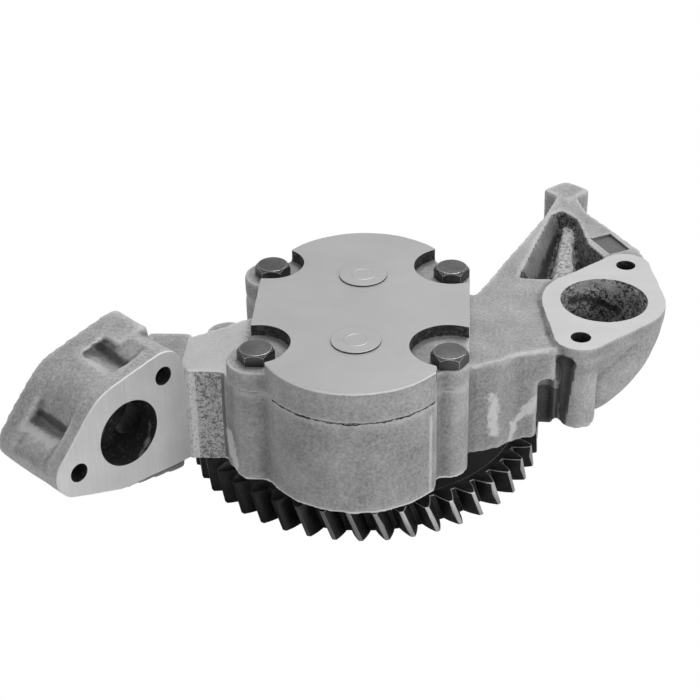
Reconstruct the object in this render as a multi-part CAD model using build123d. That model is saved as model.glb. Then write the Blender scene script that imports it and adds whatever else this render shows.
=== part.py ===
from build123d import *
import math
import os

# Engine oil pump: a pair of spur pump gears in a cast iron housing, driven by a
# helical gear that is fixed to the lower end of the drive shaft.
# Origin: drive shaft axis, at the lower face of the helical gear. Units: millimetres.
# +X points to the inlet side, +Y to the mounting boss, +Z to the cover.

# ---- Driving dimensions: helical drive gear ----
helical_module = 4.0
helical_teeth = 44
helix_angle = 20.0
helical_width = 17.5
helical_turn = 1.6
helical_tip_share = 0.08
helical_root_share = 0.4
rim_thickness = 4.0
web_thickness = 8.0
web_bottom = 4.5
drive_hub_radius = 26.0
drive_hub_bottom = 11.0

# ---- Driving dimensions: pump gears ----
pump_module = 5.75
pump_teeth = 12
pump_pressure_angle = 25.0
pump_gear_width = 30.0
tooth_backlash = 0.3
tip_clearance = 0.1
side_clearance = 0.05

# ---- Driving dimensions: shafts and bushes ----
shaft_radius = 12.5
gear_seat_radius = 11.5
thread_radius = 9.0
bush_wall = 2.5
running_clearance = 0.03
thrust_clearance = 0.3
shaft_tail = 2.5
idler_floor = 3.0
key_width = 6.0
key_height = 6.0
key_length = 12.0
nut_width = 27.0
nut_height = 7.0
washer_radius = 15.5
washer_thickness = 1.5

# ---- Driving dimensions: body and cover ----
gear_gap = 15.5
body_height = 54.0
cover_thickness = 18.0
lobe_wall = 9.3
left_side = 55.0
right_side = 57.5
front_lobe_right = 41.5
left_column = ((-70.0, -68.0), (-70.0, -74.0), (-65.0, -81.0), (-55.0, -87.0), (-49.0, -91.0))
bearing_boss_radius = 24.0
bearing_boss_height = 6.0
casting_radius = 4.0
edge_chamfer = 1.0

# ---- Driving dimensions: cover fasteners ----
bolt_half_spacing = 49.0
bolt_pattern_shift = -1.4
bolt_row_front = 7.0
bolt_row_back = 12.5
bolt_radius = 5.0
bolt_hole_clearance = 0.5
bolt_head_width = 17.0
bolt_head_height = 6.4
bolt_thread_length = 22.0
left_boss_radius = 15.5
right_boss_radius = 10.0
left_pocket_radius = 17.5
right_pocket_radius = 20.5
pocket_depth = 7.0
front_pocket_shift = 4.0
boss_margin = 0.6
dowel_radius = 4.0
dowel_length = 14.0
plug_radius = 12.9
plug_thickness = 3.0
plug_gap = 1.0
plug_sink = 0.4
plug_rim = 3.5
plug_dish = 1.0

# ---- Driving dimensions: outlet arm and its upright flange ----
outlet_turn = 48.0
outlet_center = (-114.0, -99.2)
outlet_height = 66.5
outlet_bore_radius = 18.0
outlet_bore_depth = 42.0
outlet_rim_radius = 31.5
outlet_block_depth = 51.0
outlet_plate = 10.0
outlet_hole_radius = 5.0
outlet_hole_depth = 24.0
outlet_boss_radius = 13.3
outlet_duct_radius = 28.0
outlet_post_radius = 12.0
outlet_heel_radius = 6.0
outlet_heel_reach = 36.5
upper_hole = (24.4, 23.1)
lower_hole = (-32.5, -8.2)
outlet_gallery_width = 20.0
outlet_gallery_height = 32.0
outlet_arm_front = 70.0
outlet_arm_back = ((-91.0, -38.0), (-60.0, -16.0))
outlet_arm_inset = 12.0
outlet_scoop_length = 27.0
outlet_corner = (32.5, 34.5)
outlet_corner_radius = 4.0
outlet_corner_depth = 25.0
arm_overlap = 10.0

# ---- Driving dimensions: inlet arm and its level flange ----
inlet_center = (130.5, 6.0)
inlet_bore_radius = 23.5
inlet_rim_radius = 33.0
inlet_land = 1.5
inlet_plate = 8.0
inlet_hole_radius = 5.25
inlet_boss_radius = 13.3
inlet_hole_offset = (14.6, 40.0)
inlet_bend_radius = 35.0
inlet_gallery_width = 30.0
inlet_gallery_height = 34.0
inlet_column_radius = 9.8
inlet_skirt_height = 20.0
inlet_gallery_drop = 8.0
inlet_arm_front = ((61.0, -62.0), (74.0, -57.0), (84.0, -48.5))
inlet_notch_width = 8.0
inlet_notch_height = 35.0

# ---- Driving dimensions: mounting bracket and boss ----
boss_center = (116.5, 143.0)
boss_side = 20.4
boss_pad_height = 1.0
boss_thread_radius = 4.25
boss_thread_depth = 25.0
boss_edge_radius = 2.5
bracket_left = ((61.0, 13.0), (102.2, 110.3))
bracket_right = ((127.3, 114.9), (154.8, 67.4), (159.5, 48.0))
bracket_depth = 38.0
bracket_floor = 12.0
bracket_drop = 9.0
pocket_mouth = ((84.5, 33.0), (122.0, 30.0), (134.5, 58.0), (126.0, 74.0),
                (121.0, 106.0), (112.0, 118.0), (105.5, 110.0))
pocket_base = ((97.0, 35.0), (120.0, 33.0), (131.0, 58.0), (123.0, 73.0),
               (118.0, 104.0), (113.5, 110.0), (111.0, 105.0))
rib_foot = ((97.0, 30.0), (122.0, 30.0), (121.0, 74.0), (121.0, 108.0), (112.0, 116.0), (106.0, 84.0))
rib_crest = ((103.0, 30.0), (118.0, 30.0), (117.0, 74.0), (118.5, 106.0), (114.0, 112.0), (110.0, 84.0))


# ---- Driving dimensions: relief valve ----
valve_center = (-72.0, -23.0)
valve_piston_radius = 7.0
valve_piston_length = 14.0
piston_crown = 4.0
valve_clearance = 0.04
valve_seat_radius = 5.5
valve_wall = 4.5
valve_travel = 8.0
valve_port_radius = 3.0
valve_port_margin = 0.5
valve_plug_length = 9.0
valve_socket_width = 5.5
valve_spring_length = 24.0
spring_wire_radius = 0.8
spring_turns = 6.0
spring_radius = 3.9

# ---- Levels and radii that follow from them ----
body_bottom = helical_width + gear_gap
joint_plane = body_bottom + body_height
cover_top = joint_plane + cover_thickness
boss_bottom = body_bottom - bearing_boss_height
chamber_floor = joint_plane - pump_gear_width - 2 * side_clearance
axis_distance = pump_module * pump_teeth
pump_tip_radius = pump_module * (pump_teeth + 2) / 2
pocket_radius = pump_tip_radius + tip_clearance
lobe_radius = pocket_radius + lobe_wall
bush_bore_radius = shaft_radius + running_clearance
bush_outer_radius = bush_bore_radius + bush_wall
idler_axis = (0, -axis_distance)
port_y = -axis_distance / 2
pocket_floor = cover_top - pocket_depth
hub_top = boss_bottom - thrust_clearance
washer_bottom = drive_hub_bottom - washer_thickness
cover_bush_top = cover_top - plug_thickness - plug_gap
idler_bore_bottom = body_bottom + idler_floor
shaft_end_gap = 1.0


# ---- Small helpers ----

def disc(radius, bottom, top, center=(0, 0)):
    """Upright round bar between two levels."""
    bar = Cylinder(radius, top - bottom, align=(Align.CENTER, Align.CENTER, Align.MIN))
    return Pos(center[0], center[1], bottom) * bar


def ring(inner, outer, bottom, top, center=(0, 0)):
    """Upright tube between two levels."""
    return disc(outer, bottom, top, center) - disc(inner, bottom, top, center)


def prism(points, bottom, top):
    """Upright prism over a closed outline."""
    outline = make_face(Polyline(*points, close=True))
    return Pos(0, 0, bottom) * extrude(outline, top - bottom)


def tapered(low, high, bottom, top):
    """Solid with straight sides between two closed outlines of as many corners."""
    faces = [Pos(0, 0, level) * make_face(Polyline(*points, close=True))
             for points, level in ((low, bottom), (high, top))]
    return loft(faces, ruled=True)


def hull(circles):
    """Flat outline drawn tight round circles given as x, y and radius."""
    return make_hull([(Pos(x, y) * Circle(radius)).edge() for x, y, radius in circles])


def polar(radius, angle):
    """Point at a radius and an angle in degrees."""
    return (radius * math.cos(math.radians(angle)), radius * math.sin(math.radians(angle)))


def hexagon(width, bottom, top, center=(0, 0)):
    """Upright hexagonal bar with its size across flats."""
    outline = RegularPolygon(width / 2, 6, major_radius=False)
    return Pos(center[0], center[1], bottom) * extrude(outline, top - bottom)


def bolt_positions():
    """Plan positions of the four cover bolts."""
    rows = (-axis_distance - bolt_row_front, bolt_row_back)
    return [(bolt_pattern_shift + side * bolt_half_spacing, row) for row in rows for side in (-1, 1)]


def dowel_positions():
    """Plan positions of the two cover dowels, on the outer wall of each lobe."""
    spot = lobe_radius - lobe_wall / 2
    return [(0, spot), (0, -axis_distance - spot)]


# ---- Outline that the body and the cover share ----

def housing_outline():
    """Two lobes round the shafts, straight sides and four bolt bosses."""
    back_row = bolt_row_back
    front_row = -axis_distance - bolt_row_front
    middle = ((right_side - left_side) / 2, (back_row + front_row) / 2)
    front_lobe = Pos(*idler_axis) * Circle(lobe_radius)
    keep = Pos(front_lobe_right - lobe_radius, -axis_distance) * Rectangle(2 * lobe_radius, 2 * lobe_radius)
    front_lobe &= keep
    shape = Circle(lobe_radius) + front_lobe
    shape += Pos(*middle) * Rectangle(left_side + right_side, back_row - front_row)
    for spot in bolt_positions():
        shape += Pos(*spot) * Circle(left_boss_radius if spot[0] < 0 else right_boss_radius)
    return offset(offset(shape, casting_radius), -casting_radius)


# ---- Outlet arm ----

outlet_plane = Plane(
    origin=(outlet_center[0], outlet_center[1], outlet_height),
    x_dir=(math.cos(math.radians(outlet_turn)), math.sin(math.radians(outlet_turn)), 0),
    z_dir=(math.sin(math.radians(outlet_turn)), -math.cos(math.radians(outlet_turn)), 0),
)


def outlet_point(across, depth):
    """Plan position of a point on the outlet block, from its flange centre."""
    spot = outlet_plane.from_local_coords(Vector(across, 0, -depth))
    return (spot.X, spot.Y)


def outlet_scoops(outline):
    """Hollows between the duct and the posts behind the two bolt holes."""
    reach = 2 * outlet_rim_radius
    above = Polyline(lower_hole, (0, 0), upper_hole, (upper_hole[0], reach), (-reach, reach),
                     (-reach, lower_hole[1]), close=True)
    gaps = (outline & make_face(above)) - Circle(outlet_duct_radius)
    for hole in (upper_hole, lower_hole):
        gaps -= Pos(*hole) * Circle(outlet_post_radius)
    return Pos(0, 0, -outlet_plate - outlet_scoop_length) * extrude(gaps, outlet_scoop_length)


def outlet_block():
    """Upright flange with the thick casting behind it."""
    floor = body_bottom - outlet_height
    heel = (outlet_heel_reach, floor + outlet_heel_radius, outlet_heel_radius)
    rim = (0, 0, outlet_rim_radius)
    upper = (*upper_hole, outlet_boss_radius)
    lower = (*lower_hole, outlet_boss_radius)
    outline = hull([rim, upper, lower, heel])
    block = Pos(0, 0, -outlet_block_depth) * extrude(outline, outlet_block_depth)
    rear = hull([rim, upper, lower, heel, (*outlet_corner, outlet_corner_radius)])
    block += Pos(0, 0, -outlet_block_depth) * extrude(rear, outlet_block_depth - outlet_corner_depth)
    return outlet_plane * (block - outlet_scoops(outline))


def outlet_neck_corner():
    """Plan position where the front wall of the neck meets the outlet block."""
    return outlet_point(outlet_heel_reach + 2, 0)


def outlet_arm():
    """Straight neck between the barrel and the outlet block."""
    corner = outlet_neck_corner()
    back = outlet_point(outlet_heel_reach, outlet_block_depth - outlet_arm_inset)
    inner = -left_side + arm_overlap
    points = ((inner, -outlet_arm_front), (corner[0] + 2, -outlet_arm_front), corner, back,
              *outlet_arm_back, (inner, outlet_arm_back[1][1]))
    return prism(points, body_bottom, joint_plane)


def gallery(start, end, width, height, level):
    """Oval passage between two plan positions."""
    run = (end[0] - start[0], end[1] - start[1])
    length = math.hypot(*run)
    across = (-run[1] / length, run[0] / length, 0)
    ahead = (run[0] / length, run[1] / length, 0)
    mouth = Plane(origin=(start[0], start[1], level), x_dir=across, z_dir=ahead)
    return extrude(mouth * SlotOverall(height, width, rotation=90), length)


def outlet_passages():
    """Bore behind the outlet flange, its bolt holes and the way to the pump gears."""
    round_end = outlet_bore_depth - outlet_bore_radius
    bore = Pos(0, 0, -round_end) * extrude(Circle(outlet_bore_radius), round_end)
    bore += Pos(0, 0, -round_end) * Sphere(outlet_bore_radius)
    for hole in (upper_hole, lower_hole):
        bore += Pos(*hole, -outlet_hole_depth) * extrude(Circle(outlet_hole_radius), outlet_hole_depth)
    neck = ((outlet_neck_corner()[0] + outlet_arm_back[0][0]) / 2,
            (outlet_arm_back[0][1] - outlet_arm_front) / 2)
    end = outlet_point(0, round_end + 4)
    size = (outlet_gallery_width, outlet_gallery_height, outlet_height)
    return outlet_plane * bore + gallery(port_corner(-1), neck, *size) + gallery(neck, end, *size)


def port_corner(side):
    """Plan position of the corner where the two gear pockets meet."""
    return (side * math.sqrt(pocket_radius ** 2 - port_y ** 2), port_y)


# ---- Inlet arm ----

inlet_run = (port_corner(1)[0] - inlet_center[0], port_corner(1)[1] - inlet_center[1])
inlet_reach = math.hypot(*inlet_run)
inlet_way = (inlet_run[0] / inlet_reach, inlet_run[1] / inlet_reach)
inlet_face = joint_plane + inlet_land


def inlet_holes():
    """Plan positions of the two bolt holes beside the inlet bore."""
    return [(inlet_center[0] + side * inlet_hole_offset[0], inlet_center[1] + side * inlet_hole_offset[1])
            for side in (-1, 1)]


def inlet_circles(shrink):
    """Circles that the inlet flange is drawn round, made smaller by a margin."""
    rim = (*inlet_center, inlet_rim_radius - shrink)
    return [rim] + [(*spot, inlet_boss_radius - shrink) for spot in inlet_holes()]


def inlet_elbow():
    """Flange on top, and the round bend that leads down and into the arm."""
    outline = hull(inlet_circles(0))
    flange = Pos(0, 0, inlet_face) * extrude(outline, -inlet_plate)
    low = hull(inlet_circles(inlet_column_radius))
    slope = (Pos(0, 0, inlet_face - inlet_plate) * outline,
             Pos(0, 0, inlet_face - inlet_plate - inlet_skirt_height) * low)
    skirt = loft(slope, ruled=True)
    turn = (inlet_center[0] + inlet_bend_radius * inlet_way[0],
            inlet_center[1] + inlet_bend_radius * inlet_way[1])
    hinge = Axis((turn[0], turn[1], inlet_face), (inlet_way[1], -inlet_way[0], 0))
    bend = revolve(Pos(*inlet_center, inlet_face) * Circle(inlet_rim_radius), hinge, 90)
    column = disc(inlet_column_radius, body_bottom, inlet_face - inlet_plate, inlet_holes()[0])
    return flange + skirt + bend + column


def inlet_arm():
    """Broad arm between the barrel and the elbow."""
    front_foot = (inlet_holes()[0][0] - inlet_column_radius - 3, inlet_holes()[0][1] - 10)
    inner = right_side - arm_overlap
    points = ((inner, inlet_arm_front[0][1]), *inlet_arm_front, front_foot,
              (front_foot[0], front_foot[1] + 12), inlet_center, pocket_mouth[0],
              bracket_left[0], (inner, bracket_left[0][1]))
    arm = prism(points, body_bottom, joint_plane)
    notch = Box(inlet_notch_width, 24, 2 * inlet_notch_height)
    return arm - Pos(front_foot[0] - 5, front_foot[1], body_bottom) * notch


# ---- Mounting bracket ----

def bracket():
    """Two legs that run back to the mounting boss, with a pocket and a rib between them."""
    neck = boss_side / 3
    front = boss_center[1] - boss_side / 2
    outer = (*bracket_left, (boss_center[0] - neck, front), (boss_center[0] + neck, front),
             *bracket_right, inlet_center)
    legs = prism(outer, joint_plane - bracket_depth, joint_plane)
    floor = joint_plane - bracket_depth + bracket_floor
    legs -= tapered(pocket_base, pocket_mouth, floor, joint_plane)
    rib = tapered(rib_foot, rib_crest, floor, joint_plane - bracket_drop)
    boss = Rot(0, 0, 45) * Rectangle(boss_side, boss_side)
    boss = fillet(boss.vertices(), boss_edge_radius)
    block = Pos(*boss_center, body_bottom) * extrude(boss, body_height + boss_pad_height)
    return legs + rib + block


def inlet_passages():
    """Bore under the inlet flange, its bolt holes and the way to the pump gears."""
    level = chamber_floor + pump_gear_width / 2 - inlet_gallery_drop
    bore = disc(inlet_bore_radius, level, inlet_face, inlet_center)
    bore += Pos(*inlet_center, level) * Sphere(inlet_bore_radius)
    front, back = inlet_holes()
    bore += disc(inlet_hole_radius, body_bottom, inlet_face, front)
    bore += disc(inlet_hole_radius, body_bottom, inlet_face, back)
    return bore + gallery(port_corner(1), inlet_center, inlet_gallery_width, inlet_gallery_height, level)


# ---- Relief valve in the outlet arm ----

valve_bore_radius = valve_piston_radius + valve_clearance
valve_plug_top = body_bottom + valve_plug_length
piston_top = valve_plug_top + valve_spring_length + piston_crown
valve_seat_top = piston_top + 2 * valve_port_radius + 3 * valve_port_margin


def valve_housing():
    """Upright boss on the back of the outlet arm."""
    top = valve_seat_top + valve_wall
    radius = valve_bore_radius + valve_wall
    outline = Circle(radius) + Pos(0, -valve_bore_radius) * Rectangle(2 * radius, 2 * valve_bore_radius)
    return Pos(*valve_center, body_bottom) * extrude(outline, top - body_bottom)


def valve_passages():
    """Stepped bore for the piston, the pressure port and the spill port."""
    port_level = piston_top + valve_port_radius + valve_port_margin
    bore = disc(valve_bore_radius, body_bottom, piston_top, valve_center)
    bore += disc(valve_seat_radius, piston_top, valve_seat_top, valve_center)
    inward = Plane(origin=(*valve_center, port_level), z_dir=(0, -1, 0))
    bore += extrude(inward * Circle(valve_port_radius), outlet_gallery_width + valve_bore_radius)
    spill_level = piston_top - valve_travel + valve_port_radius
    outward = Plane(origin=(*valve_center, spill_level), z_dir=(0, 1, 0))
    return bore + extrude(outward * Circle(valve_port_radius), 2 * (valve_bore_radius + valve_wall))


def valve_piston():
    """Cup-shaped piston, closed at the top."""
    piston = disc(valve_piston_radius, piston_top - valve_piston_length, piston_top, valve_center)
    hollow = disc(spring_radius + 1.5 * spring_wire_radius, piston_top - valve_piston_length,
                  piston_top - piston_crown, valve_center)
    return piston - hollow


def valve_spring():
    """Coil spring between the plug and the piston's crown, with flat ground ends."""
    rise = valve_spring_length - 2 * spring_wire_radius
    path = Helix(rise / spring_turns, rise, spring_radius)
    wire = Plane(origin=path @ 0, z_dir=path % 0) * Circle(spring_wire_radius)
    coil = sweep(wire, path=path, is_frenet=True)
    half_width = 0.8 * spring_wire_radius
    end = ring(spring_radius - half_width, spring_radius + half_width,
               -spring_wire_radius, 0.3 * spring_wire_radius)
    spring = coil + Rot(0, 0, 90) * end + Pos(0, 0, rise) * Rot(180, 0, 90) * end
    return Pos(*valve_center, valve_plug_top + spring_wire_radius) * spring


def valve_plug():
    """Flush screwed plug with a hexagon socket, which holds the spring."""
    plug = disc(valve_bore_radius, body_bottom, valve_plug_top, valve_center)
    return plug - hexagon(valve_socket_width, body_bottom, body_bottom + valve_plug_length / 2, valve_center)


# ---- Pump body and cover ----

def bush_bores(bottom, top, center):
    """Bore that a bush is pressed into."""
    return disc(bush_outer_radius, bottom, top, center)


def pump_body():
    """Cast body with the gear pockets, both arms and the mounting bracket."""
    body = Pos(0, 0, body_bottom) * extrude(housing_outline(), body_height)
    body += prism((*left_column, (bolt_pattern_shift, port_y)), body_bottom, joint_plane)
    body += outlet_arm() + outlet_block() + valve_housing()
    body += inlet_arm() + inlet_elbow() + bracket()
    body &= Pos(0, 0, body_bottom) * Box(1000, 1000, 500, align=(Align.CENTER, Align.CENTER, Align.MIN))
    body += disc(bearing_boss_radius, boss_bottom, chamber_floor)
    body -= disc(pocket_radius, chamber_floor, joint_plane)
    body -= disc(pocket_radius, chamber_floor, joint_plane, idler_axis)
    body -= outlet_passages() + inlet_passages() + valve_passages()
    body -= bush_bores(boss_bottom, chamber_floor, (0, 0))
    body -= bush_bores(idler_bore_bottom, chamber_floor, idler_axis)
    for spot in bolt_positions():
        body -= disc(bolt_radius, joint_plane - bolt_thread_length, joint_plane, spot)
    for spot in dowel_positions():
        body -= disc(dowel_radius, joint_plane - dowel_length / 2, joint_plane, spot)
    return body - disc(boss_thread_radius, body_bottom, body_bottom + boss_thread_depth, boss_center)


def cover_pocket(spot):
    """Round clearance for one bolt head, with a chamfered mouth, open over the bolt's boss."""
    radius = left_pocket_radius if spot[0] < 0 else right_pocket_radius
    boss_radius = left_boss_radius if spot[0] < 0 else right_boss_radius
    shift = front_pocket_shift if spot[1] < port_y else 0
    center = (spot[0], spot[1] + shift)
    mouth = Cone(radius, radius + edge_chamfer, edge_chamfer, align=(Align.CENTER, Align.CENTER, Align.MIN))
    pocket = disc(radius, pocket_floor, cover_top, center) + Pos(*center, cover_top - edge_chamfer) * mouth
    return pocket + disc(boss_radius + boss_margin, pocket_floor, cover_top, spot)


def pump_cover():
    """Flat cover with round pockets for the bolt heads."""
    cover = Pos(0, 0, joint_plane) * extrude(housing_outline(), cover_thickness)
    cover = chamfer(cover.faces().sort_by(Axis.Z)[-1].edges(), edge_chamfer)
    for spot in bolt_positions():
        cover -= cover_pocket(spot)
        cover -= disc(bolt_radius + bolt_hole_clearance, joint_plane, cover_top, spot)
    for spot in dowel_positions():
        cover -= disc(dowel_radius, joint_plane, joint_plane + dowel_length / 2, spot)
    for axis in ((0, 0), idler_axis):
        cover -= bush_bores(joint_plane, cover_bush_top, axis)
        cover -= disc(plug_radius, cover_bush_top, cover_top, axis)
    return cover


def cover_plugs():
    """Two pressed plugs that close the shaft bores in the cover."""
    plugs = []
    for axis in ((0, 0), idler_axis):
        plug = disc(plug_radius, cover_top - plug_thickness, cover_top - plug_sink, axis)
        plugs.append(plug - disc(plug_radius - plug_rim, cover_top - plug_dish, cover_top, axis))
    return Compound(plugs)


def cover_bolts():
    """Four hexagon bolts that hold the cover on the body."""
    bolts = []
    for spot in bolt_positions():
        head_top = pocket_floor + bolt_head_height
        head = hexagon(bolt_head_width, pocket_floor, head_top, spot)
        crown = Cone(bolt_head_width * 0.5 + bolt_head_height, bolt_head_width * 0.475, bolt_head_height,
                     align=(Align.CENTER, Align.CENTER, Align.MIN))
        head &= Pos(*spot, pocket_floor) * crown
        bolts.append(head + disc(bolt_radius, joint_plane - bolt_thread_length + 2, pocket_floor, spot))
    return Compound(bolts)


def cover_dowels():
    """Two dowel pins that line the cover up with the body."""
    return Compound([disc(dowel_radius, joint_plane - dowel_length / 2, joint_plane + dowel_length / 2, spot)
                     for spot in dowel_positions()])


# ---- Shafts and bushes ----

def body_bush(axis, bottom):
    """Plain bush in the floor of the body."""
    return ring(bush_bore_radius, bush_outer_radius, bottom, chamber_floor, axis)


def cover_bush(axis):
    """Plain bush in the cover."""
    return ring(bush_bore_radius, bush_outer_radius, joint_plane, cover_bush_top, axis)


def pump_gear_key_level():
    """Level of the middle of the driving pump gear."""
    return chamber_floor + side_clearance + pump_gear_width / 2


def drive_shaft():
    """Stepped shaft: thread, seat of the drive gear and the long journal."""
    shaft = disc(shaft_radius, hub_top, cover_bush_top - shaft_end_gap)
    shaft += disc(gear_seat_radius, drive_hub_bottom, hub_top)
    shaft += disc(thread_radius, shaft_tail, drive_hub_bottom)
    return shaft - drive_gear_key() - pump_gear_key()


def key(radius, bottom):
    """Parallel key that lies half in the shaft and half in its gear."""
    bar = Box(key_width, key_height, key_length, align=(Align.CENTER, Align.CENTER, Align.MIN))
    return Pos(0, radius, bottom) * bar


def drive_gear_key():
    """Key between the drive shaft and the helical gear."""
    return key(gear_seat_radius, drive_hub_bottom + 1.5)


def pump_gear_key():
    """Key between the drive shaft and the driving pump gear."""
    return key(shaft_radius, pump_gear_key_level() - key_length / 2)


def idler_shaft():
    """Plain shaft that carries the driven pump gear."""
    return disc(shaft_radius, idler_bore_bottom + shaft_end_gap, cover_bush_top - shaft_end_gap, idler_axis)


# ---- Pump gears ----

def involute_point(base, radius, start):
    """Point of an involute flank at a radius, measured from the middle of its tooth."""
    turn = math.sqrt((radius / base) ** 2 - 1)
    return polar(radius, math.degrees(start - (turn - math.atan(turn))))


def pump_gear_outline():
    """Toothed outline with a tooth on the +X axis."""
    pitch = pump_module * pump_teeth / 2
    base = pitch * math.cos(math.radians(pump_pressure_angle))
    root = pitch - 1.25 * pump_module
    angle = math.radians(pump_pressure_angle)
    half = math.pi / (2 * pump_teeth) - tooth_backlash / (4 * pitch)
    start = half + math.tan(angle) - angle
    steps = [base + (pump_tip_radius - base) * share for share in (0, 0.15, 0.4, 0.7, 1)]
    flank = [involute_point(base, radius, start) for radius in steps]
    mirrored = [(x, -y) for x, y in flank]
    foot = polar(root, math.degrees(start))
    next_foot = polar(root, 360 / pump_teeth - math.degrees(start))
    tooth = [Line((foot[0], -foot[1]), mirrored[0]), Spline(*mirrored),
             ThreePointArc(mirrored[-1], (pump_tip_radius, 0), flank[-1]), Spline(*flank[::-1]),
             Line(flank[0], foot), ThreePointArc(foot, polar(root, 180 / pump_teeth), next_foot)]
    edges = [Rot(0, 0, 360 * tooth_number / pump_teeth) * edge
             for tooth_number in range(pump_teeth) for edge in tooth]
    return make_face(edges)


def pump_gear(axis, turn):
    """Spur gear that fills its pocket, less the side clearance."""
    gear = Rot(0, 0, turn) * extrude(pump_gear_outline(), pump_gear_width)
    gear = Pos(*axis, chamber_floor + side_clearance) * gear
    return gear - disc(shaft_radius, chamber_floor, joint_plane, axis)


def driving_pump_gear():
    """Driving gear, with a tooth that points at the driven gear."""
    return pump_gear((0, 0), -90) - pump_gear_key()


def driven_pump_gear():
    """Driven gear, with a tooth space that points at the driving gear."""
    return pump_gear(idler_axis, 90 + 180 / pump_teeth)


# ---- Helical drive gear ----

helical_pitch_radius = helical_module * helical_teeth / math.cos(math.radians(helix_angle)) / 2
helical_tip_radius = helical_pitch_radius + helical_module
helical_root_radius = helical_pitch_radius - 1.25 * helical_module


def helical_outline(turn):
    """Toothed outline of the drive gear, turned about its axis by an angle in degrees."""
    space = 360 / helical_teeth
    edges = []
    for tooth_number in range(helical_teeth):
        middle = helical_turn + turn + tooth_number * space
        root_before = polar(helical_root_radius, middle - helical_root_share * space)
        pitch_before = polar(helical_pitch_radius, middle - 0.245 * space)
        tip_before = polar(helical_tip_radius, middle - helical_tip_share * space)
        tip_after = polar(helical_tip_radius, middle + helical_tip_share * space)
        pitch_after = polar(helical_pitch_radius, middle + 0.245 * space)
        root_after = polar(helical_root_radius, middle + helical_root_share * space)
        next_root = polar(helical_root_radius, middle + (1 - helical_root_share) * space)
        edges.append(ThreePointArc(root_before, pitch_before, tip_before))
        edges.append(Line(tip_before, tip_after))
        edges.append(ThreePointArc(tip_after, pitch_after, root_after))
        edges.append(Line(root_after, next_root))
    return make_face(edges)


def drive_gear():
    """Left-hand helical gear with a thin rim, a recessed web and a raised hub."""
    twist = math.degrees(helical_width * math.tan(math.radians(helix_angle)) / helical_pitch_radius)
    slices = (helical_outline(0), Pos(0, 0, helical_width) * helical_outline(-twist))
    gear = loft(slices, ruled=True)
    inside = helical_root_radius - rim_thickness
    gear -= ring(drive_hub_radius, inside, 0, web_bottom)
    gear -= ring(drive_hub_radius, inside, web_bottom + web_thickness, helical_width)
    gear -= disc(drive_hub_radius, 0, drive_hub_bottom)
    gear += disc(drive_hub_radius, drive_hub_bottom, hub_top)
    return gear - disc(gear_seat_radius, 0, hub_top) - drive_gear_key()


def drive_gear_washer():
    """Washer under the nut."""
    return ring(thread_radius, washer_radius, washer_bottom, drive_hub_bottom)


def drive_gear_nut():
    """Hexagon nut that holds the drive gear on the shaft."""
    nut = hexagon(nut_width, washer_bottom - nut_height, washer_bottom)
    return nut - disc(thread_radius, washer_bottom - nut_height, washer_bottom)


# ---- All the pieces ----

PIECES = {
    "pump_body": pump_body,
    "pump_cover": pump_cover,
    "cover_bolts": cover_bolts,
    "cover_dowels": cover_dowels,
    "cover_plugs": cover_plugs,
    "drive_body_bush": lambda: body_bush((0, 0), boss_bottom),
    "drive_cover_bush": lambda: cover_bush((0, 0)),
    "driven_body_bush": lambda: body_bush(idler_axis, idler_bore_bottom),
    "driven_cover_bush": lambda: cover_bush(idler_axis),
    "drive_shaft": drive_shaft,
    "driving_pump_gear": driving_pump_gear,
    "pump_gear_key": pump_gear_key,
    "drive_gear": drive_gear,
    "drive_gear_key": drive_gear_key,
    "drive_gear_washer": drive_gear_washer,
    "drive_gear_nut": drive_gear_nut,
    "driven_shaft": idler_shaft,
    "driven_pump_gear": driven_pump_gear,
    "relief_valve_piston": valve_piston,
    "relief_valve_spring": valve_spring,
    "relief_valve_plug": valve_plug,
}

os.makedirs("parts", exist_ok=True)
for name, build in PIECES.items():
    export_step(build(), "parts/" + name + ".step")
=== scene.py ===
# %% [markdown]
# # An engine oil pump
# A gear pump sits between the engine's sump and its oil ways. A large helical gear under
# the barrel drives it, a suction pipe is bolted to the level flange on the right, and the
# pressure oil leaves by the upright flange on the left. The solids come from the CAD
# frame; this notebook gives them the skin of a real casting, sharp machined faces, worn
# steel and the light they are seen in. All lengths are in metres.

# %% The frame
import math
import bpy
from mathutils import Matrix, Vector


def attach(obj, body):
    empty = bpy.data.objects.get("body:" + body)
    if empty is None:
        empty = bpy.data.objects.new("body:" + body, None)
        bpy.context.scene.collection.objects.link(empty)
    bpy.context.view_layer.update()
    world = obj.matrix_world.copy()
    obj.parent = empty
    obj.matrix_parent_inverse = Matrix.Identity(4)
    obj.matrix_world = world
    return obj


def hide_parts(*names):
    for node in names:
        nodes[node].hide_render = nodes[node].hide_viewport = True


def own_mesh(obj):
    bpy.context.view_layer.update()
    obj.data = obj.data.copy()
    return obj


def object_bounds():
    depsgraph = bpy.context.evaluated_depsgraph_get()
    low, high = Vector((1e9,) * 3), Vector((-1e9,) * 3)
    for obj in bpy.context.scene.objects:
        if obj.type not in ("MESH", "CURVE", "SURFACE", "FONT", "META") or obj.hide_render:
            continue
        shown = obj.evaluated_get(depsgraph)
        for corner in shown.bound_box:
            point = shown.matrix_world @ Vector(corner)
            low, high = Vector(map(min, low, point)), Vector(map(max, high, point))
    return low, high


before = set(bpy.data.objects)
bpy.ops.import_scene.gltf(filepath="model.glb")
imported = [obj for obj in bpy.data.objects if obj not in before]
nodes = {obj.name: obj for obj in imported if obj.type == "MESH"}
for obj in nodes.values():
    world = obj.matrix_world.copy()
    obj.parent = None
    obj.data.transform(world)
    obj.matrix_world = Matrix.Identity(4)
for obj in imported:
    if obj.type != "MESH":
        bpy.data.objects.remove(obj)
cad_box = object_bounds()
print("pieces in the frame:", len(nodes))

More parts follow.
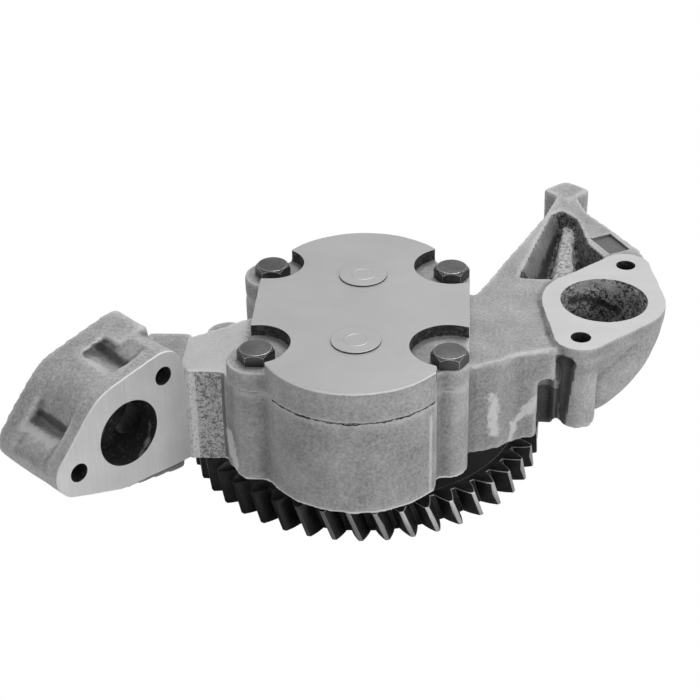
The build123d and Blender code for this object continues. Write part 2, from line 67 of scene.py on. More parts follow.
# %% [markdown]
# ## Camera
# The pump is seen from the front, a little from the left, and about 31 degrees from above,
# through a long lens, so that its two arms keep their true proportions. A camera looks
# along its own -Z, so the three axes below are its right, its up and its backward
# directions, and they make the rotation matrix directly.

# %% Camera
camera_place = Vector((0.0504, -0.8359, 0.5650))
pitch = math.radians(31.19)
yaw = math.radians(3.99)
roll = math.radians(1.11)


def make_camera():
    """Camera at the viewing place, with a long lens."""
    forward = Vector((-math.sin(yaw) * math.cos(pitch), math.cos(yaw) * math.cos(pitch), -math.sin(pitch)))
    level = Vector((math.cos(yaw), math.sin(yaw), 0))
    upward = level.cross(forward)
    right = level * math.cos(roll) - upward * math.sin(roll)
    up = level * math.sin(roll) + upward * math.cos(roll)
    camera = bpy.data.objects.new("camera", bpy.data.cameras.new("camera"))
    camera.data.sensor_width = 36.0
    camera.data.lens = 90.96
    camera.data.clip_end = 20.0
    camera.matrix_world = Matrix((right, up, -forward)).transposed().to_4x4()
    camera.location = camera_place
    bpy.context.scene.collection.objects.link(camera)
    return camera


bpy.context.scene.camera = make_camera()
print("camera looks down by", round(math.degrees(pitch), 1), "degrees")

# %% [markdown]
# ## Light
# Soft studio light: one large panel above and behind, a broad weak one on the left, a
# smaller one low on the right and a dim world, so that level machined faces are bright and
# upright walls fall to a middle grey.

# %% Light
def area_light(name, place, target, size, power):
    """Square soft light that looks at a point."""
    data = bpy.data.lights.new(name, "AREA")
    data.size = size
    data.energy = power
    lamp = bpy.data.objects.new(name, data)
    lamp.location = place
    lamp.rotation_euler = (Vector(target) - Vector(place)).to_track_quat("-Z", "Y").to_euler()
    bpy.context.scene.collection.objects.link(lamp)
    return lamp


pump_middle = (0.0, 0.0, 0.06)
area_light("top_panel", (0.20, 0.45, 1.25), pump_middle, 0.7, 13.0)
area_light("left_panel", (-1.0, -0.75, 0.75), pump_middle, 0.8, 3.5)
area_light("right_panel", (1.05, -0.75, 0.55), pump_middle, 0.5, 8.5)

# %% [markdown]
# The world lights the pump evenly from all round. The camera and mirrored rays see it as
# plain white, so the backdrop is white, and polished metal shows a white room.

# %% World and backdrop
def pale_world(strength):
    """Even light from all round, and plain white for the camera and for reflections."""
    world = bpy.data.worlds.new("studio")
    world.use_nodes = True
    tree = world.node_tree
    tree.nodes.clear()
    dim = tree.nodes.new("ShaderNodeBackground")
    dim.inputs["Strength"].default_value = strength
    white = tree.nodes.new("ShaderNodeBackground")
    white.inputs["Color"].default_value = (1, 1, 1, 1)
    path = tree.nodes.new("ShaderNodeLightPath")
    mix = tree.nodes.new("ShaderNodeMixShader")
    out = tree.nodes.new("ShaderNodeOutputWorld")
    seen = tree.nodes.new("ShaderNodeMath")
    seen.operation = "MAXIMUM"
    tree.links.new(path.outputs["Is Camera Ray"], seen.inputs[0])
    tree.links.new(path.outputs["Is Glossy Ray"], seen.inputs[1])
    tree.links.new(seen.outputs[0], mix.inputs["Fac"])
    tree.links.new(dim.outputs[0], mix.inputs[1])
    tree.links.new(white.outputs[0], mix.inputs[2])
    tree.links.new(mix.outputs[0], out.inputs["Surface"])
    return world


bpy.context.scene.world = pale_world(0.33)
bpy.context.scene.view_settings.view_transform = "Standard"
print("world:", bpy.context.scene.world.name)

# %% [markdown]
# ## One piece at a time
# Blender's operators act on all that is selected, so each step starts by leaving one piece
# alone selected.

# %% Helper for modelling
def only(piece):
    """Object mode, with this piece alone selected and active."""
    if bpy.context.object and bpy.context.object.mode != "OBJECT":
        bpy.ops.object.mode_set(mode="OBJECT")
    bpy.ops.object.select_all(action="DESELECT")
    piece.select_set(True)
    bpy.context.view_layer.objects.active = piece


# %% [markdown]
# ## Finishes
# Everything on the pump is metal, and what tells the pieces apart is how the metal was
# worked. The cast skin is matt and grainy with darker blotches. Machined faces are smooth
# and bright with fine tool lines. The bolts are dark, and the gear is dull with bright
# lands. The grain is a node group, because several finishes use it at their own scale.

# %% Grain group
def new_group(name, inputs, outputs):
    """Empty shader node group; an input is a place where its first value is a tuple."""
    group = bpy.data.node_groups.new(name, "ShaderNodeTree")
    for label, value in inputs:
        kind = "NodeSocketVector" if isinstance(value, tuple) else "NodeSocketFloat"
        socket = group.interface.new_socket(name=label, in_out="INPUT", socket_type=kind)
        socket.default_value = value
    for label in outputs:
        group.interface.new_socket(name=label, in_out="OUTPUT", socket_type="NodeSocketFloat")
    return group, group.nodes.new("NodeGroupInput"), group.nodes.new("NodeGroupOutput")


def noise(tree, place, scale, detail=4.0, rough=0.55):
    """Noise by place; the scale is a number or a socket."""
    node = tree.nodes.new("ShaderNodeTexNoise")
    node.inputs["Detail"].default_value = detail
    node.inputs["Roughness"].default_value = rough
    tree.links.new(place, node.inputs["Vector"])
    if isinstance(scale, (int, float)):
        node.inputs["Scale"].default_value = scale
    else:
        tree.links.new(scale, node.inputs["Scale"])
    return node.outputs["Fac"]


def maths(tree, operation, first, second, clamp=False):
    """One sum on two numbers or sockets."""
    node = tree.nodes.new("ShaderNodeMath")
    node.operation = operation
    node.use_clamp = clamp
    for socket, value in zip(node.inputs, (first, second)):
        if isinstance(value, (int, float)):
            socket.default_value = value
        else:
            tree.links.new(value, socket)
    return node.outputs[0]


def spread(tree, value, low, high, new_low, new_high):
    """Stretches a value from one range to another."""
    node = tree.nodes.new("ShaderNodeMapRange")
    limits = {"From Min": low, "From Max": high, "To Min": new_low, "To Max": new_high}
    for label, number in limits.items():
        node.inputs[label].default_value = number
    tree.links.new(value, node.inputs["Value"])
    return node.outputs["Result"]


def make_grain_group():
    """Sand grain: its height, with broad blotches and fine specks for the tone."""
    group, start, end = new_group("sand_grain", [("Grain Scale", 700.0), ("Blotch Scale", 45.0)],
                                  ["Height", "Blotch", "Speck"])
    place = group.nodes.new("ShaderNodeTexCoord").outputs["Object"]
    fine = noise(group, place, start.outputs["Grain Scale"], 5.0, 0.65)
    broad = noise(group, place, start.outputs["Blotch Scale"], 6.0, 0.6)
    lumps = noise(group, place, maths(group, "MULTIPLY", start.outputs["Grain Scale"], 0.28), 3.0, 0.5)
    height = maths(group, "MULTIPLY", maths(group, "ADD", fine, lumps), 0.6)
    group.links.new(height, end.inputs["Height"])
    group.links.new(spread(group, broad, 0.32, 0.68, 0.0, 1.0), end.inputs["Blotch"])
    group.links.new(spread(group, fine, 0.35, 0.65, 0.0, 1.0), end.inputs["Speck"])
    return group


grain_group = make_grain_group()
print("group:", grain_group.name)


# %% Helpers for finishes
def new_finish(name, roughness, metallic):
    """Empty finish with its shader, whose even values sit on its own sockets."""
    finish = bpy.data.materials.new(name)
    finish.use_nodes = True
    shader = finish.node_tree.nodes["Principled BSDF"]
    shader.inputs["Roughness"].default_value = roughness
    shader.inputs["Metallic"].default_value = metallic
    return finish, finish.node_tree, shader


def place_grain(tree, grain_scale, blotch_scale):
    """Puts the grain group into a finish with its own scales."""
    node = tree.nodes.new("ShaderNodeGroup")
    node.node_tree = grain_group
    node.inputs["Grain Scale"].default_value = grain_scale
    node.inputs["Blotch Scale"].default_value = blotch_scale
    return node


def tone(tree, mask, dark, light):
    """Colour that runs from one tone to another with a mask; a tone may be a socket."""
    ramp = tree.nodes.new("ShaderNodeMix")
    ramp.data_type = "RGBA"
    first_colour, second_colour, mixed_colour = ramp.inputs[6], ramp.inputs[7], ramp.outputs[2]
    for socket, value in ((first_colour, dark), (second_colour, light)):
        if isinstance(value, tuple):
            socket.default_value = (*value, 1)
        else:
            tree.links.new(value, socket)
    tree.links.new(mask, ramp.inputs["Factor"])
    return mixed_colour


def grey(value):
    """Even grey tone."""
    return (value, value, value)


def grain_mask(tree, grain, blotch_share, speck_share):
    """Blotches and specks of the grain, added up by their shares."""
    return maths(tree, "ADD", maths(tree, "MULTIPLY", grain.outputs["Blotch"], blotch_share),
                 maths(tree, "MULTIPLY", grain.outputs["Speck"], speck_share))


def bump(tree, shader, height, strength, distance):
    """Relief from a height."""
    node = tree.nodes.new("ShaderNodeBump")
    node.inputs["Strength"].default_value = strength
    node.inputs["Distance"].default_value = distance
    tree.links.new(height, node.inputs["Height"])
    tree.links.new(node.outputs["Normal"], shader.inputs["Normal"])


# %% [markdown]
# Two more groups give masks by place. The cut line is the skin within a hair of a plane, where a tool left a
# bright edge, and where shade in the joint and highlights on edges are painted. The streak is the ragged area
# along a line between two points, where the skin has been rubbed bright, and where shade, shadow and light are
# painted.

# %% Helper for places
def vector_maths(tree, operation, first, second, output="Vector"):
    """One sum on two places or directions."""
    node = tree.nodes.new("ShaderNodeVectorMath")
    node.operation = operation
    tree.links.new(first, node.inputs[0])
    if operation == "SCALE":
        tree.links.new(second, node.inputs["Scale"])
    else:
        tree.links.new(second, node.inputs[1])
    return node.outputs[output]


# %% Cut line group
def make_cut_line_group():
    """Mask of the skin that lies within a ragged width of a plane."""
    group, start, end = new_group("cut_line", [("Way", (0.0, 0.0, 1.0)), ("Distance", 0.0),
                                               ("Width", 0.0007), ("Ragged", 0.0008)], ["Mask"])
    place = group.nodes.new("ShaderNodeTexCoord").outputs["Object"]
    along = vector_maths(group, "DOT_PRODUCT", place, start.outputs["Way"], "Value")
    off = maths(group, "ABSOLUTE", maths(group, "SUBTRACT", along, start.outputs["Distance"]), 0.0)
    ragged = maths(group, "MULTIPLY", noise(group, place, 220.0), start.outputs["Ragged"])
    width = maths(group, "ADD", start.outputs["Width"], ragged)
    group.links.new(maths(group, "LESS_THAN", off, width), end.inputs["Mask"])
    return group


# %% Streak group
def make_streak_group():
    """Soft ragged mask round the line from one place to another."""
    group, start, end = new_group("streak", [("From", (0.0, 0.0, 0.0)), ("To", (0.0, 0.0, 0.1)),
                                             ("Radius", 0.002), ("Ragged", 0.006)], ["Mask"])
    place = group.nodes.new("ShaderNodeTexCoord").outputs["Object"]
    run = vector_maths(group, "SUBTRACT", start.outputs["To"], start.outputs["From"])
    reach = vector_maths(group, "SUBTRACT", place, start.outputs["From"])
    share = maths(group, "DIVIDE", vector_maths(group, "DOT_PRODUCT", reach, run, "Value"),
                  vector_maths(group, "DOT_PRODUCT", run, run, "Value"), clamp=True)
    nearest = vector_maths(group, "SCALE", run, share)
    gap = vector_maths(group, "DISTANCE", reach, nearest, "Value")
    wander = maths(group, "SUBTRACT", noise(group, place, 130.0, 6.0, 0.65), 0.5)
    gap = maths(group, "ADD", gap, maths(group, "MULTIPLY", wander, start.outputs["Ragged"]))
    inside = maths(group, "SUBTRACT", start.outputs["Radius"], gap)
    group.links.new(spread(group, inside, -0.0006, 0.0014, 0.0, 0.85), end.inputs["Mask"])
    return group


cut_line_group = make_cut_line_group()
streak_group = make_streak_group()
print("groups:", cut_line_group.name, streak_group.name)


# %% Helper for groups
def place_group(tree, group, **values):
    """Puts a group into a finish with its values, and gives its mask."""
    node = tree.nodes.new("ShaderNodeGroup")
    node.node_tree = group
    for label, value in values.items():
        node.inputs[label].default_value = value
    return node.outputs["Mask"]


# %% [markdown]
# The cast skin has grain, darker corners as painted shade and lighter edges as wear, since pointiness tells
# edges from corners on a dense mesh. It may also have bright lines along milled faces, painted shade along the
# joint, a painted highlight along the body's bottom edge, and streaks where it was rubbed and where light and
# shade are painted.

# %% Cast iron skin
def add_streaks(tree, colour, streaks):
    """Colour with streaks over it, each with its ends, radius, raggedness and tone."""
    for begin, stop, radius, ragged, shade in streaks:
        rubbed = place_group(tree, streak_group, From=begin, To=stop, Radius=radius, Ragged=ragged)
        colour = tone(tree, rubbed, colour, grey(shade))
    return colour


def add_lines(tree, colour, lines):
    """Colour with lines over it, each with its plane's way and distance, width, raggedness and tone."""
    for way, distance, width, ragged, shade in lines:
        line = place_group(tree, cut_line_group, Way=way, Distance=distance, Width=width, Ragged=ragged)
        colour = tone(tree, line, colour, grey(shade))
    return colour


def make_cast_skin(name, dark, light, lines=(), streaks=()):
    """Matt grey sand-cast skin."""
    finish, tree, shader = new_finish(name, 0.7, 0.15)
    grain = place_grain(tree, 620.0, 34.0)
    # Pointiness lightens edges as wear and darkens corners as painted shade.
    edges_worn_corners_shaded = tree.nodes.new("ShaderNodeNewGeometry").outputs["Pointiness"]
    edges = spread(tree, edges_worn_corners_shaded, 0.46, 0.54, -0.6, 0.6)
    mask = maths(tree, "ADD", grain_mask(tree, grain, 0.42, 0.55), edges, clamp=True)
    colour = add_lines(tree, tone(tree, mask, grey(dark), grey(light)), lines)
    colour = add_streaks(tree, colour, streaks)
    tree.links.new(colour, shader.inputs["Base Color"])
    tree.links.new(spread(tree, grain.outputs["Speck"], 0.0, 1.0, 0.55, 0.8), shader.inputs["Roughness"])
    bump(tree, shader, grain.outputs["Height"], 0.9, 0.0009)
    return finish


# %% [markdown]
# In a few places the casting is rougher: inside the ports, in the bracket's pocket, on the rib between its legs
# and beside the outlet. There the tone jumps from dark to light with the sand's grains. The ports, the pocket
# and the cover's clearances are also painted dark as shade, the rib's crest is painted light, and the strip
# beside the outlet flange is a painted highlight.

# %% Rough skin
def make_rough_skin(name, dark, light, grain_scale, threshold, streaks=()):
    """Coarse skin; a higher threshold leaves fewer light grains."""
    finish, tree, shader = new_finish(name, 0.75, 0.1)
    grain = place_grain(tree, grain_scale, grain_scale * 0.4)
    softness = 0.18
    mask = spread(tree, grain_mask(tree, grain, 0.5, 0.5), threshold - softness, threshold + softness, 0.0, 1.0)
    colour = add_streaks(tree, tone(tree, mask, grey(dark), grey(light)), streaks)
    tree.links.new(colour, shader.inputs["Base Color"])
    tree.links.new(spread(tree, mask, 0.0, 1.0, 0.85, 0.55), shader.inputs["Roughness"])
    bump(tree, shader, grain.outputs["Height"], 1.0, 0.002)
    return finish


# %% [markdown]
# Flange faces and the cover's top are ground. The wheel leaves fine lines that all run one
# way, which is a noise stretched almost to threads.

# %% Ground face
def make_machined_face(name, dark, light):
    """Ground iron face: light grey with fine tool lines."""
    finish, tree, shader = new_finish(name, 0.42, 0.3)
    place = tree.nodes.new("ShaderNodeTexCoord").outputs["Object"]
    stretch = tree.nodes.new("ShaderNodeMapping")
    stretch.inputs["Rotation"].default_value = (0, 0, math.radians(24))
    stretch.inputs["Scale"].default_value = (30.0, 1500.0, 30.0)
    tree.links.new(place, stretch.inputs["Vector"])
    lines = noise(tree, stretch.outputs["Vector"], 1.0, 3.0, 0.6)
    grain = place_grain(tree, 500.0, 25.0)
    mask = maths(tree, "ADD", maths(tree, "MULTIPLY", grain.outputs["Blotch"], 0.4),
                 maths(tree, "MULTIPLY", lines, 0.6))
    tree.links.new(tone(tree, mask, grey(dark), grey(light)), shader.inputs["Base Color"])
    tree.links.new(spread(tree, lines, 0.3, 0.7, 0.36, 0.5), shader.inputs["Roughness"])
    bump(tree, shader, lines, 0.12, 0.0001)
    return finish


# %% [markdown]
# ## Places on the pump
# The outlet flange stands upright and faces 48 degrees to the right of straight forwards.
# So places on it are given across its face, above its middle and behind it.

# %% Places
upright = Vector((0.0, 0.0, 1.0))
outlet_turn = math.radians(48)
outlet_way = Vector((0.743145, -0.669131, 0.0))
outlet_across = Vector((0.669131, 0.743145, 0.0))
outlet_face = Vector((-0.1140, -0.0992, 0.0665))
inlet_face = Vector((0.1305, 0.0060, 0.0885))
boss_middle = Vector((0.1165, 0.1430, 0.0535))
leg_recess = Vector((0.1383, 0.0747, 0.0902))
valve_axis = Vector((-0.0720, -0.0230, 0.0))
driven_y = -0.0690
cover_top = 0.1050
joint_level = 0.0870
body_bottom = 0.0330


def outlet_place(across, level, depth):
    """Place given across and above the outlet's centre, and behind its face."""
    return outlet_face + outlet_across * across + upright * level - outlet_way * depth


print("outlet faces", [round(number, 3) for number in outlet_way])

# %% [markdown]
# The front of the inlet arm has two bright rubbed marks, a bright upper edge, and a painted highlight on the
# notch's top and left edges. The two hollows of the outlet block get painted shade on their walls and painted
# light on their lumps, and the foot of the inlet flange gets a painted shadow. The bores, the barrel's front
# edge and the bracket's pocket have a few marks too; among them are painted shade in the inlet's bore and on
# the pocket's wall, and a painted highlight down the barrel's front edge. Each mark is a streak: its two ends,
# its radius, how ragged it is, and its tone.

# %% Streaks
arm_streaks = (
    ((0.0705, -0.0590, 0.0670), (0.0715, -0.0590, 0.0430), 0.0030, 0.014, 0.58),
    ((0.0930, -0.0450, 0.0560), (0.0820, -0.0500, 0.0440), 0.0026, 0.016, 0.52),
    ((0.0830, -0.0500, 0.0440), (0.0790, -0.0510, 0.0330), 0.0024, 0.014, 0.52),
    ((0.0600, -0.0615, 0.0862), (0.0790, -0.0505, 0.0862), 0.0012, 0.004, 0.60),
    ((0.0790, -0.0505, 0.0862), (0.0980, -0.0440, 0.0862), 0.0012, 0.004, 0.60),
    # The last two are a painted highlight on the notch's rounded top edge and its left edge.
    ((0.0915, -0.0450, 0.0570), (0.1000, -0.0450, 0.0590), 0.0016, 0.003, 0.60),
    ((0.0915, -0.0450, 0.0570), (0.0905, -0.0450, 0.0480), 0.0012, 0.003, 0.55))
# Painted shade on the shaded walls of the outlet's two hollows, then painted light on their lit lumps.
outlet_hollow_painted_light_and_shade = (
    (outlet_place(0.0130, 0.0300, 0.0360), outlet_place(0.0120, 0.0290, 0.0140), 0.0030, 0.006, 0.020),
    (outlet_place(-0.0270, 0.0090, 0.0360), outlet_place(-0.0280, 0.0080, 0.0140), 0.0030, 0.006, 0.025),
    (outlet_place(0.0010, 0.0300, 0.0300), outlet_place(-0.0010, 0.0290, 0.0130), 0.0024, 0.016, 0.40),
    (outlet_place(-0.0360, 0.0040, 0.0380), outlet_place(-0.0360, 0.0040, 0.0160), 0.0032, 0.016, 0.42))
# Painted shadow along the foot of the inlet flange.
flange_foot = ((0.0955, 0.0050, 0.0870), (0.0970, -0.0110, 0.0870), (0.0990, -0.0290, 0.0870),
               (0.1020, -0.0420, 0.0865))
flange_foot_painted_shadow = [(begin, stop, 0.0011, 0.002, 0.05) for begin, stop in zip(flange_foot, flange_foot[1:])]
# Painted highlight down the barrel's front edge.
lobe_edge_painted_highlight = ((0.0390, -0.1000, 0.0800), (0.0390, -0.1000, body_bottom), 0.0011, 0.002, 0.58)
column_foot_streak = ((-0.0660, -0.0785, 0.0500), (-0.0615, -0.0825, 0.0380), 0.0050, 0.014, 0.60)
outlet_bore_streaks = (
    ((-0.1064, -0.0829, 0.0608), (-0.1072, -0.0872, 0.0543), 0.0012, 0.007, 0.40),
    ((-0.1072, -0.0872, 0.0543), (-0.1107, -0.0939, 0.0494), 0.0014, 0.007, 0.40))
inlet_bore_streaks = (
    ((0.1203, 0.0267, 0.0860), (0.1383, 0.0280, 0.0830), 0.0030, 0.018, 0.42),
    # These two are painted shade inside the inlet's bore.
    ((0.1130, 0.0220, 0.0790), (0.1307, 0.0300, 0.0740), 0.0034, 0.008, 0.012),
    ((0.1307, 0.0300, 0.0740), (0.1400, 0.0280, 0.0700), 0.0026, 0.008, 0.012))
# Painted shade on the wall of the bracket's pocket.
pocket_wall_painted_shade = ((0.0950, 0.0560, 0.0690), (0.1080, 0.1060, 0.0690), 0.0060, 0.012, 0.020)
print("streaks on the inlet arm:", len(arm_streaks))

# %% [markdown]
# Lines run along planes: painted shade along the joint between the body and the cover, a painted highlight
# along the body's bottom edge, and bright where a milled face ends. A line is a plane's way and its distance
# from the origin, then a width, a raggedness and a tone.

# %% Skins by place
# The joint line is painted shade in the groove between the body and the cover.
joint_painted_shade = (upright, joint_level, -0.0005, 0.0022, 0.012)
# The bottom line is a painted highlight along the body's bottom edge.
bottom_edge_painted_highlight = (upright, body_bottom, 0.0010, 0.0010, 0.60)
top_line = (upright, cover_top, 0.0007, 0.0008, 0.62)
flange_line = (outlet_way, outlet_face.dot(outlet_way), 0.0007, 0.0008, 0.66)
body_skin = make_cast_skin("body_skin", 0.14, 0.41, streaks=flange_foot_painted_shadow)
barrel_skin = make_cast_skin("barrel_skin", 0.14, 0.40, (bottom_edge_painted_highlight,), (column_foot_streak,))
lobe_skin = make_cast_skin("lobe_skin", 0.14, 0.40, (joint_painted_shade, bottom_edge_painted_highlight), (lobe_edge_painted_highlight,))
cover_skin = make_cast_skin("cover_skin", 0.14, 0.40, (top_line,))
cover_front_skin = make_cast_skin("cover_front_skin", 0.14, 0.40, (joint_painted_shade, top_line))
arm_skin = make_cast_skin("arm_skin", 0.13, 0.38, streaks=arm_streaks)
# Lighter skin for the outlet arm's upward faces, as painted light.
arm_top_painted_light = make_cast_skin("arm_top_painted_light", 0.34, 0.52)
outlet_skin = make_cast_skin("outlet_skin", 0.14, 0.43, streaks=outlet_hollow_painted_light_and_shade)
flange_skin = make_cast_skin("flange_skin", 0.15, 0.42, (flange_line,))
# Nearly black skin, as painted shade in the gap and the notch beside the inlet's front column.
gap_painted_shade = make_cast_skin("gap_painted_shade", 0.03, 0.12)
# Darker skin, as painted shade in recesses.
recess_painted_shade = make_cast_skin("recess_painted_shade", 0.09, 0.24)
# Painted shade on the bracket pocket's right-facing flank, with a streak of painted shade on its wall.
flank_painted_shade = make_cast_skin("flank_painted_shade", 0.07, 0.26, streaks=(pocket_wall_painted_shade,))
print("cast skins ready")

# %% Rough and ground skins by place
# Nearly black rough skin: painted shade with old oil in the cover's clearances, and painted shade on the plugs'
# rims.
clearance_painted_shade = make_rough_skin("clearance_painted_shade", 0.006, 0.045, 700.0, 0.62)
# Nearly black rough skin, as painted shade inside the bores and bolt holes.
port_painted_shade = make_rough_skin("port_painted_shade", 0.004, 0.10, 900.0, 0.76, outlet_bore_streaks)
inlet_skin = make_rough_skin("inlet_skin", 0.03, 0.52, 1000.0, 0.50, inlet_bore_streaks)
# Painted shade in the bracket's pocket and on the rib's flanks.
pocket_painted_shade = make_rough_skin("pocket_painted_shade", 0.02, 0.20, 1100.0, 0.54)
# Lighter rough skin for the rib's crest, as painted light.
rib_crest_painted_light = make_rough_skin("rib_crest_painted_light", 0.16, 0.56, 1100.0, 0.42)
neck_skin = make_rough_skin("neck_skin", 0.16, 0.66, 1200.0, 0.44)
# Light rough skin, as a painted highlight on the strip beside the outlet flange.
flange_side_painted_highlight = make_rough_skin("flange_side_painted_highlight", 0.50, 0.82, 1200.0, 0.34)
inlet_ground = make_machined_face("inlet_ground", 0.36, 0.47)
outlet_ground = make_machined_face("outlet_ground", 0.42, 0.66)
cover_face = make_machined_face("cover_face", 0.26, 0.34)
print("rough skins and ground faces ready")

# %% [markdown]
# ## Steel and bronze
# The bolts are dark with bright worn edges, and the gears are dark with bright lands. The drive gear's lands
# are painted darker towards the outlet's side, as painted shade. Shafts and pins are ground.

# %% Steel finishes
def make_steel(name, dark, light, roughness, grain_scale, relief, shaded_to_outlet=False):
    """Steel in two tones, with fine relief; the last option paints its colour darker towards the outlet's side,
    as painted shade.
    """
    finish, tree, shader = new_finish(name, roughness, 0.75)
    grain = place_grain(tree, grain_scale, 60.0)
    mask = grain_mask(tree, grain, 0.6, 0.4)
    colour = tone(tree, mask, grey(dark), grey(light))
    if shaded_to_outlet:
        place = tree.nodes.new("ShaderNodeTexCoord").outputs["Object"]
        split = tree.nodes.new("ShaderNodeSeparateXYZ")
        tree.links.new(place, split.inputs["Vector"])
        # Painted shade: darker towards -x, the outlet's side.
        outlet_side_shade_mask = spread(tree, split.outputs["X"], -0.040, 0.045, 1.0, 0.0)
        colour = tone(tree, outlet_side_shade_mask, colour, grey(0.012))
    tree.links.new(colour, shader.inputs["Base Color"])
    variation = 0.08
    tree.links.new(spread(tree, mask, 0.0, 1.0, roughness - variation, roughness + variation),
                   shader.inputs["Roughness"])
    bump(tree, shader, grain.outputs["Height"], relief, 0.0003)
    return finish


bolt_steel = make_steel("bolt_steel", 0.022, 0.10, 0.42, 900.0, 0.25)
worn_edge = make_steel("worn_edge", 0.45, 0.70, 0.32, 1200.0, 0.1)
gear_steel = make_steel("gear_steel", 0.004, 0.035, 0.5, 600.0, 0.3)
# The drive gear's lands are painted darker towards the outlet's side, as painted shade.
gear_land = make_steel("gear_land", 0.36, 0.66, 0.4, 900.0, 0.2, shaded_to_outlet=True)
ground_steel = make_steel("ground_steel", 0.50, 0.62, 0.28, 1200.0, 0.1)
plug_steel = make_steel("plug_steel", 0.50, 0.62, 0.34, 900.0, 0.15)
print("steels ready")


# %% Bronze
def make_bronze():
    """Bored bronze of the bushes."""
    finish, tree, shader = new_finish("bush_bronze", 0.35, 0.9)
    grain = place_grain(tree, 900.0, 80.0)
    tree.links.new(tone(tree, grain.outputs["Blotch"], (0.42, 0.27, 0.12), (0.58, 0.40, 0.2)),
                   shader.inputs["Base Color"])
    bump(tree, shader, grain.outputs["Height"], 0.1, 0.0002)
    return finish


bush_bronze = make_bronze()
print("bronze:", bush_bronze.name)

# %% [markdown]
# The frame's own pieces keep their CAD meshes, and each gets its finish. Most of them sit
# inside the pump and show only when it comes apart.

# %% Finishes of the frame's own pieces
node_finish = {
    "pump_body": body_skin, "pump_cover": cover_skin, "cover_bolts": bolt_steel,
    "cover_dowels": ground_steel, "cover_plugs": plug_steel,
    "drive_body_bush": bush_bronze, "drive_cover_bush": bush_bronze, "driven_body_bush": bush_bronze,
    "driven_cover_bush": bush_bronze, "drive_shaft": ground_steel, "driving_pump_gear": gear_steel,
    "pump_gear_key": ground_steel, "drive_gear": gear_steel, "drive_gear_key": ground_steel,
    "drive_gear_washer": bolt_steel, "drive_gear_nut": bolt_steel, "driven_shaft": ground_steel,
    "driven_pump_gear": gear_steel, "relief_valve_piston": ground_steel, "relief_valve_spring": bolt_steel,
    "relief_valve_plug": bolt_steel}
for name, finish in node_finish.items():
    nodes[name].data.materials.clear()
    nodes[name].data.materials.append(finish)
print("finished", len(node_finish), "frame pieces")

# %% [markdown]
# ## From a solid to a casting
# A sand casting has no sharp edge: sand rounds every outer edge and fills every inner
# corner. Bevels on so many meeting walls would fail somewhere, so the casting is made as
# the foundry makes it. A copy of the CAD solid is remeshed into small even cells, and
# smoothing then wears down its edges and fills its corners by a few millimetres.

# %% Rough casting
def copy_of(node, name):
    """Copy of a CAD node's mesh as a new piece, with its triangles joined up."""
    mesh = nodes[node].data.copy()
    mesh.materials.clear()
    piece = bpy.data.objects.new(name, mesh)
    bpy.context.scene.collection.objects.link(piece)
    only(piece)
    bpy.ops.object.mode_set(mode="EDIT")
    bpy.ops.mesh.select_all(action="SELECT")
    bpy.ops.mesh.remove_doubles(threshold=0.00001)
    bpy.ops.object.mode_set(mode="OBJECT")
    return piece


def apply_modifier(piece, kind, **settings):
    """Adds one modifier to the piece and applies it."""
    only(piece)
    modifier = piece.modifiers.new(kind.lower(), kind)
    for setting, value in settings.items():
        setattr(modifier, setting, value)
    bpy.ops.object.modifier_apply(modifier=modifier.name)


def pour(piece, cell, rounds):
    """Remeshes the piece and wears its edges, as sand does."""
    apply_modifier(piece, "REMESH", mode="VOXEL", voxel_size=cell, adaptivity=0.0)
    apply_modifier(piece, "SMOOTH", factor=0.5, iterations=rounds)
    print(piece.name, "has", len(piece.data.polygons), "faces after pouring")


# %% [markdown]
# Lumps and hollows that the CAD solid leaves plain go into the rough piece before it is
# poured, so that they blend in. A lump is only joined on, because the remesh fuses closed
# shells that overlap. A hollow is a boolean cut with the manifold solver, which is quick
# and keeps the mesh closed. Coarse sand is a displacement along the surface.

# %% Pattern helpers
def new_box(place, size, turn):
    """Box as a new piece, by its middle, its size and its turn."""
    bpy.ops.object.select_all(action="DESELECT")
    bpy.ops.mesh.primitive_cube_add(size=1.0, location=place, rotation=turn, scale=size)
    return bpy.context.object


def new_bar(place, direction, radius, depth, segments=96):
    """Round bar as a new piece, by its middle and its direction."""
    bpy.ops.object.select_all(action="DESELECT")
    bpy.ops.mesh.primitive_cylinder_add(vertices=segments, radius=radius, depth=depth, location=place,
                                        rotation=direction.to_track_quat("Z", "Y").to_euler())
    return bpy.context.object


def join_lump(piece, lump):
    """Joins a closed lump to the piece, for the remesh to fuse."""
    only(piece)
    lump.select_set(True)
    bpy.ops.object.join()


def cut_away(piece, cutter):
    """Cuts a closed shape out of the piece, and removes the shape."""
    apply_modifier(piece, "BOOLEAN", operation="DIFFERENCE", solver="MANIFOLD", object=cutter)
    bpy.data.objects.remove(cutter)


sand = bpy.data.textures.new("sand", "CLOUDS")
sand.noise_scale = 0.0045
sand.noise_depth = 3
swell = bpy.data.textures.new("swell", "CLOUDS")
swell.noise_scale = 0.018


def roughen(piece, texture, amount, wanted=None):
    """Pushes the surface in and out by a procedural texture, where wanted."""
    group = ""
    if wanted:
        group = piece.vertex_groups.new(name="rough").name
        spots = [point.index for point in piece.data.vertices if wanted(point.co, point.normal)]
        piece.vertex_groups[group].add(spots, 1.0, "REPLACE")
    apply_modifier(piece, "DISPLACE", texture=texture, texture_coords="LOCAL", strength=amount,
                   mid_level=0.5, vertex_group=group)
    piece.vertex_groups.clear()


# %% [markdown]
# ## Machining
# Flange faces, bores and the joint are cut after casting, so they are flat and their edges
# are crisp. Each face that gets cut is first raised a little, as a pattern maker leaves
# stock on it, and a milling cut at the true plane then takes that stock off.

